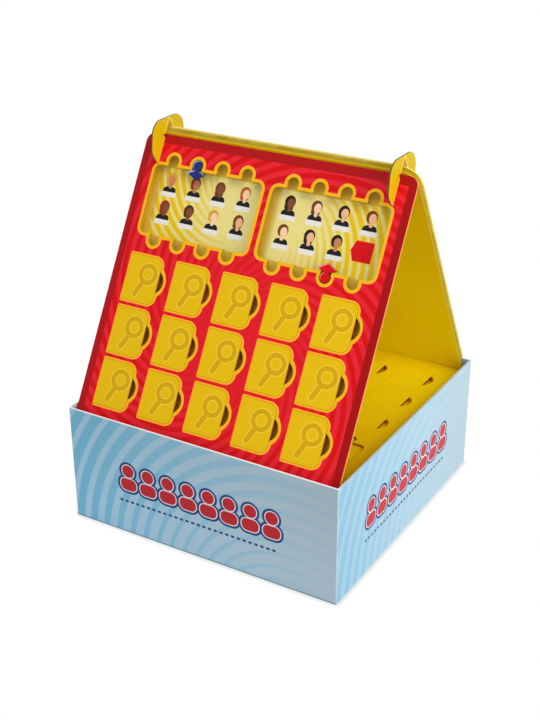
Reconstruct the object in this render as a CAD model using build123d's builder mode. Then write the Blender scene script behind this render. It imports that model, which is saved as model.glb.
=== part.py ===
from build123d import *
from math import atan2, cos, degrees, hypot, radians, sin, tan
import os

# A face guessing flip game, set up for play: two hinged door boards and a plain back board
# lean together as a ridge tent on a platform inside an open carton tray.
# Millimetres and degrees. Origin at the centre of the tray's underside,
# +X to the right, +Y away from the player, +Z up.

# ------------------------------------------------------------------ driving sizes
# carton tray and the platform inside it
tray_width = 250.0
tray_depth = 248.0
tray_height = 103.0
tray_wall = 1.6
tray_edge_radius = 1.0
platform_side_gap = 0.4
platform_board = 2.0
platform_corner_radius = 1.5

# door boards: the upright front one, and its twin that lies face down as the tent's floor
board_side_gap = 1.6
board_end_gap = 0.4
board_thickness = 2.2
board_corner = 8.0
front_lean = 60.0
front_foot_gap = 0.4
floor_below_rim = 9.0
seat_gap = 0.1
crease_gap = 0.3

# hinged doors, in rows of five between the board's margins, with bars of board between them
door_columns = 5
door_rows = 3
door_side_margin = 11.05
door_foot_margin = 13.7
door_window_gap = 6.1
door_bar_width = 12.9
door_bar_height = 6.0
door_corner = 6.5
door_gap = 0.3
hinge_gap = 0.1
hinge_in_cell = 3.05
finger_hole_margin = 10.4
finger_hole_depth = 4.3

# windows with round notches for the arrow markers
window_side_margin = 15.2
window_bar = 9.6
window_height = 56.8
window_from_top = 53.8
window_corner = 5.0
notch_count = 4
notch_margin = 4.3
notch_radius = 4.9
notch_beyond_edge = 4.4
notch_neck = 9.0
notch_overlap = 0.5

# tray behind the front board, and the card that it holds
pocket_depth = 5.2
pocket_wall = 1.5
pocket_side_margin = 3.5
pocket_foot_margin = 4.0
card_thickness = 1.0
card_gap = 0.3

# plain back board: an inner sheet and a shallow outer tray
back_side_step = 3.05
back_sheet = 2.2
back_corner = 14.0
back_foot_gap = 3.9
back_above_ridge = 2.9
ridge_gap = 0.5
back_rim_depth = 3.6
back_rim_wall = 1.5
back_rim_inset = 0.6
back_skin = 1.2
back_skin_corner = 18.0
rim_clearance = 0.4

# saddle clips over the ridge: legs run down the slopes, the rest is set out from the ridge corner
clip_thickness = 1.2
clip_from_left = 16.7
clip_from_right = 15.6
clip_gap = 0.3
clip_slot_radius = 1.3
clip_nick_drop = 1.4
clip_nick_width = 4.0
clip_nick_depth = 3.7
clip_front_leg = 24.0
clip_front_tip = 3.2
clip_back_leg = 23.0
clip_back_tip = 1.2
clip_tip_radius = 1.0
clip_cheek_radius = 10.0
clip_shoulder_radius = 12.5
clip_front_cheek = 20.7
clip_front_cheek_drop = 11.1
clip_front_shoulder = 17.5
clip_back_shoulder = 25.0
clip_back_cheek_drop = 6.1
clip_crown_height = 13.6

# arrow markers
marker_thickness = 2.2
marker_proud = 0.4
marker_knob_radius = 4.6
marker_neck = 8.0
marker_head_width = 16.6
marker_barb_drop = 2.1
marker_point_length = 5.0
marker_corner = 0.5
marker_edge_gap = 0.1
blue_notch = 1
red_notch = 2

# ------------------------------------------------------------------ sizes and places worked out from them
board_width = tray_width - 2 * (tray_wall + board_side_gap)
front_length = tray_depth - 2 * (tray_wall + board_end_gap)
back_width = board_width - 2 * back_side_step

# windows and their notches fill the board's width at its free end
window_width = (board_width - 2 * window_side_margin - window_bar) / 2
window_spacing = window_width + window_bar
window_from_foot = front_length - window_from_top
notch_pitch = (window_width - 2 * notch_margin) / notch_count
notch_end = window_height / 2 + notch_beyond_edge + notch_radius

# doors fill the rest, in equal cells
door_pitch_x = (board_width - 2 * door_side_margin) / door_columns
door_pitch_y = (window_from_foot - notch_end - door_window_gap - door_foot_margin) / door_rows
door_width = door_pitch_x - door_bar_width
door_height = door_pitch_y - door_bar_height
first_row_from_foot = door_foot_margin + door_pitch_y / 2
hinge_from_cell_centre = door_pitch_x / 2 - hinge_in_cell
finger_hole_height = door_height - 2 * finger_hole_margin

floor_top = tray_height - floor_below_rim
platform_top = floor_top - board_thickness
inner_back = tray_depth / 2 - tray_wall

# front board: its plane stands on the foot, looks out of the tent and runs up the slope
front_foot_y = -inner_back + front_foot_gap
front_foot_z = platform_top + seat_gap + board_thickness * cos(radians(front_lean))
front_plane = Plane(
    origin=(0, front_foot_y, front_foot_z),
    x_dir=(1, 0, 0),
    z_dir=(0, -sin(radians(front_lean)), cos(radians(front_lean))),
)
ridge_front = front_plane.from_local_coords(Vector(0, front_length, 0))
ridge_rear = front_plane.from_local_coords(Vector(0, front_length, -board_thickness))

# back board: its inner face runs from the crease of the floor to just behind the front board's top
back_foot_y = inner_back - back_foot_gap
back_foot_z = floor_top + seat_gap
seat_y = back_foot_y - ridge_rear.Y
seat_z = ridge_rear.Z - back_foot_z
back_lean = degrees(atan2(seat_z, seat_y) + ridge_gap / hypot(seat_y, seat_z))
back_plane = Plane(
    origin=(0, back_foot_y, back_foot_z),
    x_dir=(1, 0, 0),
    z_dir=(0, -sin(radians(back_lean)), -cos(radians(back_lean))),
)
back_length = (seat_z + back_above_ridge) / sin(radians(back_lean))
back_thickness = back_sheet + back_rim_depth + back_skin

# floor board: face down, its rows of doors towards the crease
floor_plane = Plane(
    origin=(0, back_foot_y, floor_top - board_thickness),
    x_dir=(1, 0, 0),
    z_dir=(0, 0, -1),
)
front_at_floor = front_foot_y + (floor_top - front_foot_z) / tan(radians(front_lean))
front_rear_y = front_at_floor + board_thickness / sin(radians(front_lean))
floor_length = back_foot_y - front_rear_y - crease_gap
floor_tail = back_sheet * sin(radians(back_lean))


def door_centre(row, column):
    """Middle of a door's cell on its board: rows count from the foot, columns from the left."""
    x = (column - (door_columns - 1) / 2) * door_pitch_x
    return x, first_row_from_foot + row * door_pitch_y


os.makedirs("parts", exist_ok=True)


def save(part, name):
    """Label one finished piece and write it to its own file."""
    part.label = name
    export_step(part, f"parts/{name}.step")


# ------------------------------------------------------------------ outlines on a board's plane
def finger_hole():
    """Half-moon cut at a door's free edge, straight on the door's side, hinge line at x = 0."""
    edge = door_width - door_gap
    with BuildSketch() as moon:
        with BuildLine():
            ThreePointArc(
                (edge, finger_hole_height / 2),
                (door_width + finger_hole_depth, 0),
                (edge, -finger_hole_height / 2),
            )
            Line((edge, -finger_hole_height / 2), (edge, finger_hole_height / 2))
        make_face()
    return moon.sketch


def door_leaf(grow):
    """Door outline with rounded free corners, drawn larger by grow for its opening."""
    left = hinge_gap - min(grow, hinge_gap)
    width = door_width + grow - left
    with BuildSketch() as leaf:
        with Locations((left + width / 2, 0)):
            Rectangle(width, door_height + 2 * grow)
        fillet(leaf.vertices().group_by(Axis.X)[-1], door_corner + grow)
    return leaf.sketch


def window_opening():
    """Rounded window with a row of keyhole notches above and below."""
    with BuildSketch() as window:
        RectangleRounded(window_width, window_height, window_corner)
        notch_y = window_height / 2 + notch_beyond_edge
        for side in (1, -1):
            with Locations((0, side * notch_y)):
                with GridLocations(notch_pitch, 1, notch_count, 1):
                    Circle(notch_radius)
            with Locations((0, side * (notch_y - notch_beyond_edge / 2))):
                with GridLocations(notch_pitch, 1, notch_count, 1):
                    Rectangle(notch_neck, notch_beyond_edge + 2 * notch_overlap)
    return window.sketch


def board_outline(length, tail):
    """Board from below its foot line to its rounded free edge."""
    with BuildSketch() as outline:
        with Locations((0, (length - tail) / 2)):
            Rectangle(board_width, length + tail)
        fillet(outline.vertices().group_by(Axis.Y)[-1], board_corner)
    return outline.sketch


def door_board(plane, length, tail):
    """Die-cut board: fifteen door openings with finger holes and two notched windows."""
    hinge_points = []
    for row in range(door_rows):
        for column in range(door_columns):
            x, y = door_centre(row, column)
            hinge_points.append((x - hinge_from_cell_centre, y))
    with BuildPart() as board:
        with BuildSketch(plane):
            add(board_outline(length, tail))
            with Locations(*hinge_points):
                add(door_leaf(door_gap), mode=Mode.SUBTRACT)
                add(finger_hole(), mode=Mode.SUBTRACT)
            with Locations((-window_spacing / 2, window_from_foot), (window_spacing / 2, window_from_foot)):
                add(window_opening(), mode=Mode.SUBTRACT)
        extrude(amount=-board_thickness)
    return board.part


def door(plane, row, column):
    """One door, flush in its opening and creased along its left edge."""
    x, y = door_centre(row, column)
    with BuildPart() as leaf:
        with BuildSketch(plane):
            with Locations((x - hinge_from_cell_centre, y)):
                add(door_leaf(0))
        extrude(amount=-board_thickness)
    return leaf.part


# ------------------------------------------------------------------ carton tray
with BuildPart() as carton_tray:
    with BuildSketch():
        Rectangle(tray_width, tray_depth)
    extrude(amount=tray_height)
    fillet(carton_tray.edges().filter_by(Axis.Z), tray_edge_radius)
    with BuildSketch(Plane.XY.offset(tray_wall)):
        Rectangle(tray_width - 2 * tray_wall, tray_depth - 2 * tray_wall)
    extrude(amount=tray_height, mode=Mode.SUBTRACT)
save(carton_tray.part, "carton_tray")

# ------------------------------------------------------------------ platform, a folded lid on four skirts
platform_width = tray_width - 2 * (tray_wall + platform_side_gap)
platform_depth = tray_depth - 2 * (tray_wall + platform_side_gap)

with BuildPart() as platform:
    with BuildSketch(Plane.XY.offset(tray_wall)):
        RectangleRounded(platform_width, platform_depth, platform_corner_radius)
    extrude(amount=platform_top - tray_wall)
    with BuildSketch(Plane.XY.offset(tray_wall)):
        Rectangle(platform_width - 2 * platform_board, platform_depth - 2 * platform_board)
    extrude(amount=platform_top - tray_wall - platform_board, mode=Mode.SUBTRACT)
save(platform.part, "platform")

# ------------------------------------------------------------------ door boards and their doors
save(door_board(front_plane, front_length, 0), "front_board")
save(door_board(floor_plane, floor_length, floor_tail), "floor_board")

for row in range(door_rows):
    for column in range(door_columns):
        place = f"r{door_rows - row}_c{column + 1}"
        save(door(front_plane, row, column), f"front_door_{place}")
        save(door(floor_plane, row, column), f"floor_door_{place}")

# ------------------------------------------------------------------ tray glued behind the front board
pattern_half = hinge_from_cell_centre + (door_columns - 1) / 2 * door_pitch_x
window_half = (window_spacing + window_width) / 2
pocket_half_width = max(pattern_half, window_half) + pocket_side_margin
pocket_foot = first_row_from_foot - door_height / 2 - pocket_foot_margin
pocket_head = window_from_foot + notch_end + pocket_side_margin
pocket_mid = (pocket_foot + pocket_head) / 2
pocket_length = pocket_head - pocket_foot
card_depth = board_thickness + pocket_depth
backing_thickness = pocket_depth + card_thickness + pocket_wall

with BuildPart() as front_backing:
    with BuildSketch(front_plane.offset(-board_thickness)):
        with Locations((0, pocket_mid)):
            Rectangle(2 * pocket_half_width, pocket_length)
    extrude(amount=-backing_thickness)
    with BuildSketch(front_plane.offset(-board_thickness)):
        with Locations((0, pocket_mid)):
            Rectangle(2 * (pocket_half_width - pocket_wall), pocket_length - 2 * pocket_wall)
    extrude(amount=-(pocket_depth + card_thickness), mode=Mode.SUBTRACT)
save(front_backing.part, "front_backing")

with BuildPart() as character_card:
    with BuildSketch(front_plane.offset(-card_depth)):
        with Locations((0, pocket_mid)):
            card_margin = pocket_wall + card_gap
            Rectangle(2 * (pocket_half_width - card_margin), pocket_length - 2 * card_margin)
    extrude(amount=-card_thickness)
save(character_card.part, "character_card")

# ------------------------------------------------------------------ back board
with BuildPart() as back_board:
    with BuildSketch(back_plane) as back_outline:
        with Locations((0, back_length / 2)):
            Rectangle(back_width, back_length)
        fillet(back_outline.vertices().group_by(Axis.Y)[-1], back_corner)
    extrude(amount=-back_sheet)
save(back_board.part, "back_board")

# the outer tray ends just above the carton's rear rim
back_tray_foot = (tray_height + rim_clearance - back_foot_z) / sin(radians(back_lean))
back_tray_length = back_length - back_tray_foot
back_tray_mid = back_tray_foot + back_tray_length / 2

with BuildPart() as back_tray:
    with BuildSketch(back_plane.offset(-back_sheet)) as rim_outline:
        with Locations((0, back_tray_mid)):
            Rectangle(back_width - 2 * back_rim_inset, back_tray_length - 2 * back_rim_inset)
        fillet(rim_outline.vertices().group_by(Axis.Y)[-1], back_corner - back_rim_inset)
    extrude(amount=-back_rim_depth)
    with BuildSketch(back_plane.offset(-back_sheet)) as rim_hollow:
        rim = back_rim_inset + back_rim_wall
        with Locations((0, back_tray_mid)):
            Rectangle(back_width - 2 * rim, back_tray_length - 2 * rim)
        fillet(rim_hollow.vertices().group_by(Axis.Y)[-1], back_corner - rim)
    extrude(amount=-back_rim_depth, mode=Mode.SUBTRACT)
    with BuildSketch(back_plane.offset(-back_sheet - back_rim_depth)) as skin_outline:
        with Locations((0, back_tray_mid)):
            Rectangle(back_width, back_tray_length)
        fillet(skin_outline.vertices().group_by(Axis.Y)[-1], back_skin_corner)
    extrude(amount=-back_skin)
save(back_tray.part, "back_tray")


# ------------------------------------------------------------------ saddle clips over the ridge
def slope_point(plane, run, out):
    """Point in the side view, as (Y, Z): run up a board's plane, and out along its normal."""
    point = plane.from_local_coords(Vector(0, run, out))
    return point.Y, point.Z


def from_ridge(back, up):
    """Point in the side view, as (Y, Z), measured from the front board's top corner."""
    return ridge_front.Y + back, ridge_front.Z + up


def slot_apex():
    """Where the two sides of the V slot meet above the ridge."""
    front_y, front_z = slope_point(front_plane, front_length, clip_gap)
    back_y, back_z = slope_point(back_plane, back_length, -back_thickness - clip_gap)
    front_rise = tan(radians(front_lean))
    back_rise = tan(radians(back_lean))
    y = (back_z - front_z + front_y * front_rise + back_y * back_rise) / (front_rise + back_rise)
    return y, front_z + (y - front_y) * front_rise


def saddle_clip(x):
    """Punched saddle with rounded cheeks, and a nicked V slot that drops over the ridge."""
    front_run = front_length - clip_front_leg
    back_run = back_length - clip_back_leg
    back_out = -back_thickness - clip_gap
    nick_run = front_length - clip_nick_drop
    front_inner = slope_point(front_plane, front_run, clip_gap)
    front_outer = slope_point(front_plane, front_run, clip_gap + clip_front_tip)
    front_cheek = from_ridge(-clip_front_cheek, -clip_front_cheek_drop)
    front_shoulder = from_ridge(-clip_front_shoulder, clip_crown_height)
    back_shoulder = from_ridge(clip_back_shoulder, clip_crown_height)
    back_cheek = from_ridge(clip_back_shoulder, -clip_back_cheek_drop)
    back_outer = slope_point(back_plane, back_run, back_out - clip_back_tip)
    back_inner = slope_point(back_plane, back_run, back_out)
    apex = slot_apex()
    radii = {
        front_outer: clip_tip_radius,
        front_cheek: clip_cheek_radius,
        front_shoulder: clip_shoulder_radius,
        back_shoulder: clip_shoulder_radius,
        back_cheek: clip_cheek_radius,
        apex: clip_slot_radius,
    }
    with BuildPart() as clip:
        with BuildSketch(Plane.YZ.offset(x - clip_thickness / 2)) as outline:
            with BuildLine():
                Polyline(
                    front_inner,
                    front_outer,
                    front_cheek,
                    front_shoulder,
                    back_shoulder,
                    back_cheek,
                    back_outer,
                    back_inner,
                    apex,
                    slope_point(front_plane, nick_run + clip_nick_width / 2, clip_gap),
                    slope_point(front_plane, nick_run, clip_gap + clip_nick_depth),
                    slope_point(front_plane, nick_run - clip_nick_width / 2, clip_gap),
                    close=True,
                )
            make_face()
            for corner, radius in radii.items():
                fillet(outline.vertices().sort_by_distance(corner)[0], radius)
        extrude(amount=clip_thickness)
    return clip.part


save(saddle_clip(clip_from_left - board_width / 2), "clip_left")
save(saddle_clip(board_width / 2 - clip_from_right), "clip_right")


# ------------------------------------------------------------------ arrow markers
def marker_outline(up):
    """Round knob at the origin, a neck, and a barbed head that points away from it; up is 1 or -1."""
    shoulder = notch_beyond_edge + marker_edge_gap
    barb = shoulder + marker_barb_drop
    with BuildSketch() as outline:
        with BuildLine():
            Polyline(
                (-marker_neck / 2, -up * shoulder),
                (-marker_head_width / 2, -up * barb),
                (0, -up * (barb + marker_point_length)),
                (marker_head_width / 2, -up * barb),
                (marker_neck / 2, -up * shoulder),
                close=True,
            )
        make_face()
        fillet(outline.vertices().filter_by(lambda v: abs(v.Y) > shoulder + marker_edge_gap), marker_corner)
        Circle(marker_knob_radius)
        with Locations((0, -up * shoulder / 2)):
            Rectangle(marker_neck, shoulder)
    return outline.sketch


def arrow_marker(window_side, notch, up):
    """Marker with its knob in one notch of a window and its head over the card."""
    notch_x = window_side * window_spacing / 2 + (notch - (notch_count - 1) / 2) * notch_pitch
    notch_y = window_from_foot + up * (window_height / 2 + notch_beyond_edge)
    with BuildPart() as marker:
        with BuildSketch(front_plane.offset(marker_proud)):
            with Locations((notch_x, notch_y)):
                add(marker_outline(up))
        extrude(amount=-marker_thickness)
    return marker.part


save(arrow_marker(-1, blue_notch, 1), "arrow_blue")
save(arrow_marker(1, red_notch, -1), "arrow_red")
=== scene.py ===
from math import atan2, cos, pi, radians, sin

import bpy
import numpy as np
from mathutils import Matrix, Vector


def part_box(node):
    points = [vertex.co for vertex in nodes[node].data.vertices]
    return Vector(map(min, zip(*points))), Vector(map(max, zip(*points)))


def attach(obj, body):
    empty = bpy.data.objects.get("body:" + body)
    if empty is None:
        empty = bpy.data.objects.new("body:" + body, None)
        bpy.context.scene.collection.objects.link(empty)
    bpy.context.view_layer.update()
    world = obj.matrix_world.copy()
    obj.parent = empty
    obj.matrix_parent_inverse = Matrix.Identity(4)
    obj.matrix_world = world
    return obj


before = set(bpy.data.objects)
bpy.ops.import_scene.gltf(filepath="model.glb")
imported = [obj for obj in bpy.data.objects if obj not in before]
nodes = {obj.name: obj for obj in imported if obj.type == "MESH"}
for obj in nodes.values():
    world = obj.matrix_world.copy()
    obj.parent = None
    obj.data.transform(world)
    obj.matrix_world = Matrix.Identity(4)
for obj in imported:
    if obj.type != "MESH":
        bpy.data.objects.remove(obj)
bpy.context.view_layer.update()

# A face guessing flip game of printed and laminated board, dressed for a studio photograph.
# Places are in metres; printed layouts and thicknesses are in millimetres.
MM = 0.001
PER_MM = 1 / MM
LEAN_ROUNDS = 12


def centre(box):
    """Middle of a box."""
    return (box[0] + box[1]) / 2


# ------------------------------------------------------------------ boards, measured from the frame
front_lean = radians(60)
slope = Vector((0, cos(front_lean), sin(front_lean)))
front_normal = Vector((0, -sin(front_lean), cos(front_lean)))
board_low, board_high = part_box("front_board")
floor_low, floor_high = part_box("floor_board")
tray_low, tray_high = [corner * PER_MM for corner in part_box("carton_tray")]
thickness = (floor_high.z - floor_low.z) * PER_MM
front_foot = Vector((0, board_low.y, board_low.z + thickness * MM * cos(front_lean)))
front_length = (board_high.z - front_foot.z) / sin(front_lean) * PER_MM
board_half_width = board_high.x * PER_MM
back_low, back_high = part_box("back_board")
crease = Vector((0, back_high.y, back_low.z))


def sheet_lean(low, high, depth):
    """Lean of a tilted sheet of known thickness from its box: (dy, dz) = length x (c, s) + depth x (s, c)."""
    lean = front_lean
    for _ in range(LEAN_ROUNDS):
        lean = atan2(high.z - low.z - depth * cos(lean), high.y - low.y - depth * sin(lean))
    return lean


back_angle = sheet_lean(back_low, back_high, thickness * MM)
back_rise = Vector((0, -cos(back_angle), sin(back_angle)))
back_out = Vector((0, sin(back_angle), cos(back_angle)))
back_tray_low, back_tray_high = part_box("back_tray")
back_tray_run = back_tray_high.y - back_tray_low.y
back_tray_rise = back_tray_high.z - back_tray_low.z
back_tray_depth = (back_tray_run * sin(back_angle) - back_tray_rise * cos(back_angle)) / (
    sin(back_angle) ** 2 - cos(back_angle) ** 2
)
back_outer_foot = Vector((0, back_tray_high.y, back_tray_low.z + back_tray_depth * cos(back_angle)))
first_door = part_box("front_door_r1_c1")
next_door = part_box("front_door_r1_c2")
upper_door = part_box("front_door_r2_c1")

# ------------------------------------------------------------------ printed layout, in millimetres
# doors, and the tile printed round each, measured from the door's crease
DOOR_COLUMNS = 5
DOOR_ROWS = 3
DOOR_PITCH = (
    (next_door[0].x - first_door[0].x) * PER_MM,
    (centre(first_door) - centre(upper_door)).dot(slope) * PER_MM,
)
HINGE_GAP = 0.1
HINGE_X = first_door[0].x * PER_MM - HINGE_GAP
LOWEST_ROW = (centre(first_door) - front_foot).dot(slope) * PER_MM - (DOOR_ROWS - 1) * DOOR_PITCH[1]
DOOR_WIDTH = 31.4
DOOR_CORNER = 6.5
TILE_LEFT = -0.6
TILE_RIGHT = 33.6
TILE_HEIGHT = 41.6
TILE_CORNER = 8.5
TILE_BUMP_REACH = 38.8
TILE_BUMP_RADIUS = 14.4
TILE_CELL_START = 3.0
TILE_CREASE_CORNER = 1.5
OUTLINE_WIDTH = 1.2
# mouth of the painted shade round a finger hole
MOUTH_REACH = 36.6
MOUTH_RADIUS = 9.9
MOUTH_PAST_CUT = 0.2
FINGER_HOLE_HALF = 8.6
MOTIF_MIDDLE = (17.2, 0)
MOTIF_LINE = 0.8
LENS_MIDDLE = (3.36, 4.8)
LENS_RADIUS = 6.96
LENS_RING = 1.92
HANDLE_MIDDLE = (-3.12, -8.64)
HANDLE_SIZE = (4.56, 13.44)
HANDLE_CORNER = 2.16
HANDLE_TURN = radians(25)

# dark border round a door board, and the share of its thickness that the print folds down over the cut
BORDER_WIDTH = 6.5
BORDER_TOP = 7.4
BOARD_CORNER = 8.0
FOLDED_PRINT = 0.15
OUTER_CUT_REACH = 0.5

# windows with keyhole notches for the markers
WINDOW_SPACING = 111.4
WINDOW_ROW = 190.2
WINDOW_SIZE = (101.8, 56.8)
WINDOW_CORNER = 5.0
WINDOW_BAND = 2.6
NOTCH_COUNT = 4
NOTCH_PITCH = 23.3
NOTCH_RADIUS = 4.9
NOTCH_BEYOND_EDGE = 4.4
NOTCH_NECK = 9.0
NOTCH_NECK_CORNER = 0.5
NOTCH_ROW = WINDOW_SIZE[1] / 2 + NOTCH_BEYOND_EDGE

# pale lines and painted shade along a clip's slot, and the height over which painted shade darkens its face
CLIP_RIM_WIDTH = 0.9
CLIP_LIP_WIDTH = 2.5
CLIP_SLOT_SHADE_WIDTH = 1.7
CLIP_SHADE_BELOW = 20.0
CLIP_SHADE_ABOVE = 14.0

# layers of the back board's edge, behind its outer face, where its painted highlights and shade change
BACK_SKIN = 1.9
BACK_SHEET = 5.05
BACK_CORNER_LINE = 6.4

# printed card behind the windows and the doors
# shift of the gold band painted on the card as the windows' side walls
CARD_FRAME_SHIFT = 1.9
BUST_PITCH = (23.6, 23.0)
BUST_ROW = 182.7
BUST_LEFT = (-92.8, 18.9)
TAG_LEFT = 17.1
# width of the painted shadow beside a window's left wall, and reach of painted light under its top
FRAME_SHADOW = 4.5
TOP_LIGHT_REACH = 14.0
LARGE_BUST_MIDDLE = 15.5
LARGE_BUST_SCALE = 1.6
SMALL_BUST_SEEDS = ((2, 3, 0), (9, 3, 1))
LARGE_BUST_SEED = (5, 11, 4)
HOLLOW_LIGHT_STRIP = 5.2
ROWS_UNDER_DOORS = 2.6

# parts of a bust and of the tag: place, size and corner, or place, stretch and radius
HAIR_CROWN = ((-0.3, 4.0), (1, 0.92), 4.7)
HAIR_FALL = ((-0.6, 3.0), (8.0, 6.6), 2.8)
HAIR_DROP = 3.4
FACE_OVAL = ((0.6, 2.9), (1, 0.8), 3.1)
NECK = ((0.2, -1.4), (2.8, 5.0), 0.8)
SHIRT = ((0, -6.6), (12.4, 8.4), 3.8)
PLATE = ((0, -8.8), (14.0, 4.0), 0.3)
TAG_BODY = ((1.6, 0), (15.0, 15.6), 0.4)
TAG_TIP = (-5.9, 0)
TAG_TIP_STRETCH = (7.8 / 3.2, 1)
TAG_TIP_SIZE = (11.0, 11.0)
TAG_TIP_CORNER = 0.2
TAG_LINE = 0.5
TAG_CELL_CORNER = 0.5

# faces and dotted rule on the carton's wrap, in cells as high as the wall allows
FACE_COUNT = 8
FACE_CELL = (19.4, 60.0)
FACE_FIRST = (-68.0, 52.0)
HEAD = ((0, 7.4), (1, 1), 5.4)
SHOULDERS = ((0, -5.2), (15.0, 10.5), 4.6)
FACE_NAVY_LINE = 3.2
FACE_PALE_LINE = 1.2
FACE_SPREAD = 0.3
DOT_COUNT = 28
DOT_CELL = (5.4, 20.0)
DOT_FIRST = (-76.0, 30.5)
DOT_SIZE = (3.4, 2.2)
DOT_CORNER = 1.0

# wear of the wrap with a painted highlight on its corners, a painted contact shadow along its foot, and the
# paper's turn over the walls
CORNER_WEAR = 0.3
RUB_SIZE = 6.0
RUB_REACH = 0.8
RUB_SPAN = (-0.3, 0.35)
FOOT_SHADOW_HEIGHT = 0.8
WALL_SKIN = 0.8
FRONT_RIM = 2.5

# arrow marker, from the centre of its knob
MARKER_KNOB = 4.6
MARKER_NECK = 8.0
MARKER_SHOULDER = 4.5
MARKER_BARB = (8.3, -6.6)
MARKER_TIP = 11.6
MARKER_RIM_SHIFT = (0.7, -0.6)
MARKER_RIM = 0.3
MARKER_GAP_SHADE = 0.45
MARKER_CORNER = 0.2

# burr of laminate along a door's cut, and the ochre sheet of painted shade in the top of a clip's slot
LIP_START = 1.0
LIP_CORNER_STEPS = 6
LIP_SECTION = ((-0.02, 0.05), (0.26, 0.05), (0.26, 0.15), (-0.02, 0.15))
SHADE_SHEET_REACH = 0.35
SHADE_SHEET_CLEARANCE = 0.15
SHADE_SHEET_THICKNESS = 1.0

# swirl stripes: twist in radians per millimetre, bend in radians per square millimetre
RED_SWIRL = {"middle": (5.8, 95.86), "arms": 37, "twist": 0.6314, "bend": 0.0001773, "start": 0.038}
WRAP_SWIRL = {"middle": (44.43, -57.27), "arms": 20, "twist": 0.4757, "bend": -0.0000907, "start": 1.831}
CARD_SWIRL = {"middle": (-2.6, 200.8), "arms": 37, "twist": 0.8315, "bend": 0.0, "start": 0.759}

# grain of papers and films, drawn a little coarser than the real one so that it shows
FIBRE_SIZE = 0.5
WAVE_SIZE = 14.0
SMEAR_SIZE = 30.0
KRAFT_GRAIN = 0.6
GOLD_GRAIN = 0.8
RIM_MOTTLE = 14.0
BLOTCH_SIZE = 40.0
GRAIN_SPAN = (0.35, 0.65)
WAVE_SHARE = 8.0
RELIEF_STRENGTH = 0.4
TOOTH_RATE = 0.3
TOOTH_WANDER = 0.6

# where each tone starts to change and where it has changed, along a weighted sum for the tent's corner
RED_HUB = (38.0, 95.0)
WRAP_THINNING = (95.0, 200.0)
WRAP_FADE = (-115.0, 110.0)
WALL_HEIGHT_SHADE = (5.0, 95.0)
FRONT_RIGHT_SHADE = (60.0, 125.0)
END_WALL_SHADE = (-124.0, 26.0)
END_WALL_VEIL = 0.1
CARD_HUB = (34.0, 74.0)
CARD_WIDENING = (34.0, 84.0)
# painted shade at the tent's front right corner, and painted light along its crease
TENT_CORNER_WEIGHTS = (1.5 * PER_MM, -PER_MM, 0)
TENT_CORNER_SHADE = (40.0, 275.0)
CREASE_LIGHT_REACH = (10.0, 60.0)
CREASE_LIGHT_RIGHT_END = (70 * MM, 115 * MM)

# ------------------------------------------------------------------ inks and papers
INK_RED = "#CC0209"
INK_RED_LIGHT = "#DC1D2C"
INK_RED_MIDDLE = "#D61423"
INK_BORDER = "#A80A10"
INK_BORDER_RIGHT_SHADE = "#9C0206"
INK_ORANGE = "#FFA624"
INK_YELLOW = "#DCB300"
INK_MOTIF = "#CA9E00"
INK_MOTIF_LINE = "#E4C634"
INK_INNER_YELLOW = "#F6DC08"
INK_INNER_SHADE = "#CC9E04"
INK_INNER_LIGHT = "#FFE80C"
LAMINATE = "#E2B800"
LAMINATE_LIGHT = "#EAC200"
INK_CARD_PALE = "#DED283"
INK_CARD_STRIPE = "#DCB80A"
INK_CARD_WALL = "#CBA93C"
INK_CARD_SHADOW = "#A58A38"
INK_HOLLOW_LIGHT = "#F0AC3C"
INK_SHIRT = "#1A1A1E"
INK_PLATE = "#DEDCD6"
INK_TAG = "#CE0410"
INK_TAG_LINE = "#E0862C"
INK_BLUE = "#74B9D8"
INK_BLUE_PALE = "#A2CBE6"
INK_BLUE_GREY = "#B0C3CE"
INK_VEIL = "#5E7C90"
INK_NAVY = "#28407E"
INK_FACE = "#BC1E2C"
INK_FACE_LINE = "#DCE0E6"
INK_MARKER_BLUE = "#222C74"
MARKER_BLUE_RIM = "#B4B8D6"
MARKER_BLUE_GAP_SHADE = "#15161E"
INK_MARKER_RED = "#CC0612"
MARKER_RED_RIM = "#E2806C"
MARKER_RED_GAP_SHADE = "#5E060A"
HAIR_TONES = ("#2A1A14", "#4A2A1A", "#B5561E", "#17120F", "#6E3A1C", "#D09A34", "#8E2A1C")
SKIN_TONES = ("#7A4630", "#E2AE88", "#BC7C54", "#EEC4A2")
KRAFT = "#AE5E0C"
KRAFT_DARK_AND_HOLE_SHADE = "#84480A"
KRAFT_LIGHT = "#9A6420"
GOLD_EDGE = "#B98F22"
CUT_EDGE = "#D07A34"
CUT_EDGE_LIGHT = "#EAA452"
# liner: blue-grey painted as its shade, and its own pale tone on the lit front rim
LINER = "#A6C0C8"
LINER_RIM = "#DCDEE4"
WORN_WRAP_AND_HIGHLIGHT = "#B2C8D6"
WRAP_FOOT_SHADOW = "#55636C"
GREYBOARD = "#6E6440"
GREYBOARD_DARK = "#4E4628"
CLIP_FOOT = "#D4AC02"
CLIP_CROWN_SHADE = "#C6A902"
CLIP_RIM = "#F0CE50"
CLIP_LIP = "#EED84A"
SLOT_SHADE_OCHRE = "#B5860F"
OCHRE_LIGHT = "#C2921A"
OLIVE_SHADE = "#9C8406"
KHAKI_SHADE = "#A69038"
KHAKI_DARK = "#967804"
PALE_LIP_HIGHLIGHT = "#E0CF74"
PALE_CORNER_HIGHLIGHT = "#C09E2E"
CUT_LINE = "#9A780A"
CUT_LINE_LIGHT = "#A48214"


def linear(hex_colour):
    """sRGB hex text as a linear RGBA value."""
    parts = [int(hex_colour[i:i + 2], 16) / 255 for i in (1, 3, 5)]
    return (*[p / 12.92 if p <= 0.04045 else ((p + 0.055) / 1.055) ** 2.4 for p in parts], 1.0)


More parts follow.
